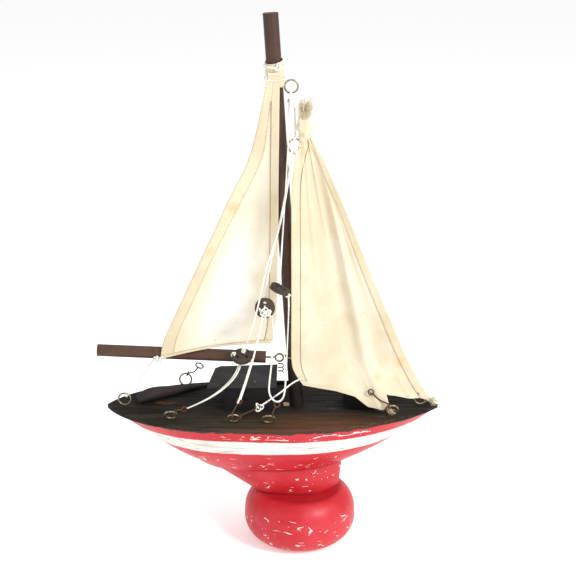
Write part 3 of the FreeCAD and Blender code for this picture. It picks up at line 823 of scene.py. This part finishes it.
JIB_LUFF = ((88.0, -1.6, 99.6), (78.5, -2.2, 114.4), (69.2, -3.0, 133.0), (59.6, -4.0, 155.9),
            (48.6, -4.6, 182.0), (38.6, -5.2, 206.0), (29.1, -6.0, 230.0), (20.0, -7.0, 251.0),
            (11.0, -8.2, 271.0), (4.2, -8.8, 283.0))
JIB_LEECH = ((1.9, -11.6, 114.4), (-3.2, -10.4, 122.0), (-5.7, -9.4, 131.0),
             (-5.9, -9.0, 160.0), (-5.9, -9.0, 190.0), (-5.9, -9.0, 222.0), (-5.6, -9.0, 248.0),
             (-3.4, -9.2, 265.0), (-0.4, -9.2, 277.0), (0.8, -9.0, 283.0))
JIB_FOOT = ((0.0, (1.9, -11.6, 114.4)), (0.14, (12.0, -12.2, 112.6)), (0.28, (23.0, -13.0, 111.0)),
            (0.40, (36.0, -14.2, 107.4)), (0.48, (44.6, -16.0, 100.8)), (0.58, (54.6, -17.6, 99.2)),
            (0.635, (58.6, -17.8, 101.6)), (0.67, (56.6, -14.0, 109.0)),
            (0.74, (62.8, -8.6, 105.6)), (0.86, (72.0, -5.0, 102.2)),
            (0.93, (80.0, -3.0, 101.6)), (1.0, (88.0, -1.6, 99.6)))
JIB_LEECH_HEM = 6.3
JIB_LUFF_HEM = 6.0
UPPER_CREASES = ((0.30, 0.62, 0.55), (0.48, 0.74, 0.7), (0.78, 0.55, 0.45), (0.20, 0.80, 0.6))
LOWER_CREASES = ((0.70, 0.30, 0.7), (0.88, 0.26, 0.6), (0.56, 0.22, 0.6))


def jib_foot(u):
    """The jib's lower edge, with the tongue that runs down to its eye."""
    for (low, start), (high, end) in zip(JIB_FOOT, JIB_FOOT[1:]):
        if u <= high:
            return Vector(start).lerp(Vector(end), (u - low) / (high - low))
    return Vector(JIB_FOOT[-1][1])


def jib_place(u, v):
    """The jib from its leech, u 0, to its luff, u 1, and from its foot to its head."""
    luff = along(JIB_LUFF, v)
    leech = along(JIB_LEECH, v)
    point = leech.lerp(luff, u)
    straight = Vector(JIB_FOOT[0][1]).lerp(Vector(JIB_FOOT[-1][1]), u)
    point += (jib_foot(u) - straight) * (1 - swell(v, 0.0, 0.24)) ** 1.5
    ridge = 0.60 + 0.18 * v
    crest = math.exp(-((u - ridge) / 0.055) ** 2)
    point.y -= 2.2 * (crest * swell(v, 0.02, 0.10) * (1 - swell(v, 0.55, 0.85)))
    valley = math.exp(-((u - ridge + 0.13) / 0.07) ** 2)
    point.y += valley * swell(v, 0.02, 0.12) * (1 - swell(v, 0.5, 0.8))
    belly = math.sin(math.pi * u) * math.sin(math.pi * min(v * 1.05, 1))
    point.y += 4.0 * belly
    ripple = noise.noise(Vector((point.x * 0.03 + point.z * 0.012, 1.3, point.z * 0.012)))
    small = noise.noise(Vector((point.x * 0.10 + point.z * 0.03, 5.2, point.z * 0.05)))
    loose = swell(v, 0.02, 0.15) * (1 - swell(v, 0.85, 1.0))
    point.y += loose * (2.2 * ripple + 0.5 * small) * swell(u, 0.0, 0.2)
    for lean, reach, deep in UPPER_CREASES:
        off = u - lean - 0.25 * (1 - v) * (lean - 0.3)
        crease = deep * math.exp(-(off / 0.028) ** 2)
        point.y -= crease * swell(v, reach - 0.35, reach) * (1 - swell(v, 0.95, 1.0))
    for lean, top, deep in LOWER_CREASES:
        off = u - lean + 0.5 * v * (lean - 0.5)
        point.y -= deep * math.exp(-(off / 0.022) ** 2) * (1 - swell(v, 0.05, top))
    point.y += math.sin(u * 21) * swell(v, 0.80, 0.98) * 0.5
    return point


jib_leech = strip(jib_place, JIB_LEECH_HEM, "near")
jib_luff = strip(jib_place, JIB_LUFF_HEM, "far")
jib = cloth("jib_cloth", jib_place, 100, 140)
jib.data.materials.append(jib_cotton.material)
jib_leech_hem = cloth("jib_leech_hem", jib_leech, 8, 120, (0, 1, 0.06, 0.95), HEM_LIFT)
jib_foot_hem = cloth("jib_foot_hem", jib_place, 60, 6, (0.0, 0.46, 0.0, 0.045), HEM_LIFT)
jib_luff_hem = cloth("jib_luff_hem", jib_luff, 8, 120, (0, 1, 0.0, 0.96), HEM_LIFT)
for hem in (jib_leech_hem, jib_foot_hem, jib_luff_hem):
    hem.data.materials.append(hem_cotton.material)
# The jib leech seam is a painted shadow line, not stitches.
jib_leech_seam_shadow = seam("jib_leech_seam_shadow", jib_leech, 0.97, 0.06, 0.93, SEAM_LIFT, hem_edge_shadow, UNBROKEN)
jib_luff_seam = seam("jib_luff_seam", jib_luff, 0.95, 0.03, 0.93, SEAM_LIFT, thread)
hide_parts("jib")
for piece in (jib, jib_leech_hem, jib_foot_hem, jib_luff_hem):
    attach(piece, "boat")
for piece in (jib_leech_seam_shadow, jib_luff_seam):
    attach(piece, "boat")

# ---------------------------------------------------------------- bunch at the jib's head
# The head's spare cloth, crumpled where it was pulled up through the ring that the halyard
# holds.

BUNCH_FOOT = 275.0
BUNCH_TALL = 20.0


def bunch_place(u, v):
    """Crumpled cloth that was pulled up through the ring at the jib's head."""
    angle = math.tau * u
    wide = 1.2 + 3.4 * math.sin(math.pi * min(v * 1.15, 1.0)) ** 0.8
    rumpled = noise.noise(Vector((math.cos(angle) * 1.6, math.sin(angle) * 1.6, v * 5.0)))
    crumple = 1 + 0.45 * rumpled
    middle = Vector((1.6 + 1.2 * math.sin(5 * v), -8.8, BUNCH_FOOT + BUNCH_TALL * v))
    return middle + Vector((math.cos(angle), 0.7 * math.sin(angle), 0)) * wide * crumple


bunch = cloth("jib_head_bunch", bunch_place, 40, 36)
bunch.data.materials.append(hem_cotton.material)
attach(bunch, "boat")

# ---------------------------------------------------------------- frayed edges
# Loose cotton threads where the cloth was torn, at the jib's head, tack and tongue. They curl
# apart and were never trimmed.

HAIR_RADIUS = 0.11
HAIR_POINTS = 4
HAIR_START = 0.25
HAIR_CURL = 0.32


def fray(name, start, towards, count, length, spread, seed):
    """A tuft of fine threads that leave one place and curl apart."""
    pick = random.Random(seed)

    def stray(share):
        return Vector([pick.gauss(0, spread * share) for axis in range(3)])

    hair = bpy.data.curves.new(name + "_hair", "CURVE")
    hair.dimensions = "3D"
    hair.bevel_depth = HAIR_RADIUS * MM
    hair.bevel_resolution = 0
    hair.use_fill_caps = True
    for number in range(count):
        spline = hair.splines.new("NURBS")
        spline.points.add(HAIR_POINTS - 1)
        here = Vector(start) + stray(HAIR_START)
        way = Vector(towards).normalized() * length * pick.uniform(0.5, 1.1)
        for point in spline.points:
            point.co = (*(here * MM), 1)
            here = here + way / (HAIR_POINTS - 1) + stray(HAIR_CURL)
        spline.order_u = 3
        spline.use_endpoint_u = True
        spline.resolution_u = 3
    holder = bpy.data.objects.new(name + "_hair", hair)
    mesh = bpy.data.meshes.new_from_object(holder)
    piece = bpy.data.objects.new(name, mesh)
    SCENE.collection.objects.link(piece)
    mesh.materials.append(hem_cotton.material)
    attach(piece, "boat")


fray("jib_head_fray", (2.2, -8.8, 291.0), (0.10, 0.0, 1.0), 260, 8.5, 4.0, 4)
fray("jib_tack_fray", (86.6, -2.0, 100.2), (0.5, -0.2, -0.1), 80, 5.0, 2.4, 7)
fray("jib_tongue_fray", (57.6, -17.6, 100.2), (0.3, -0.1, -0.3), 40, 4.0, 2.0, 9)
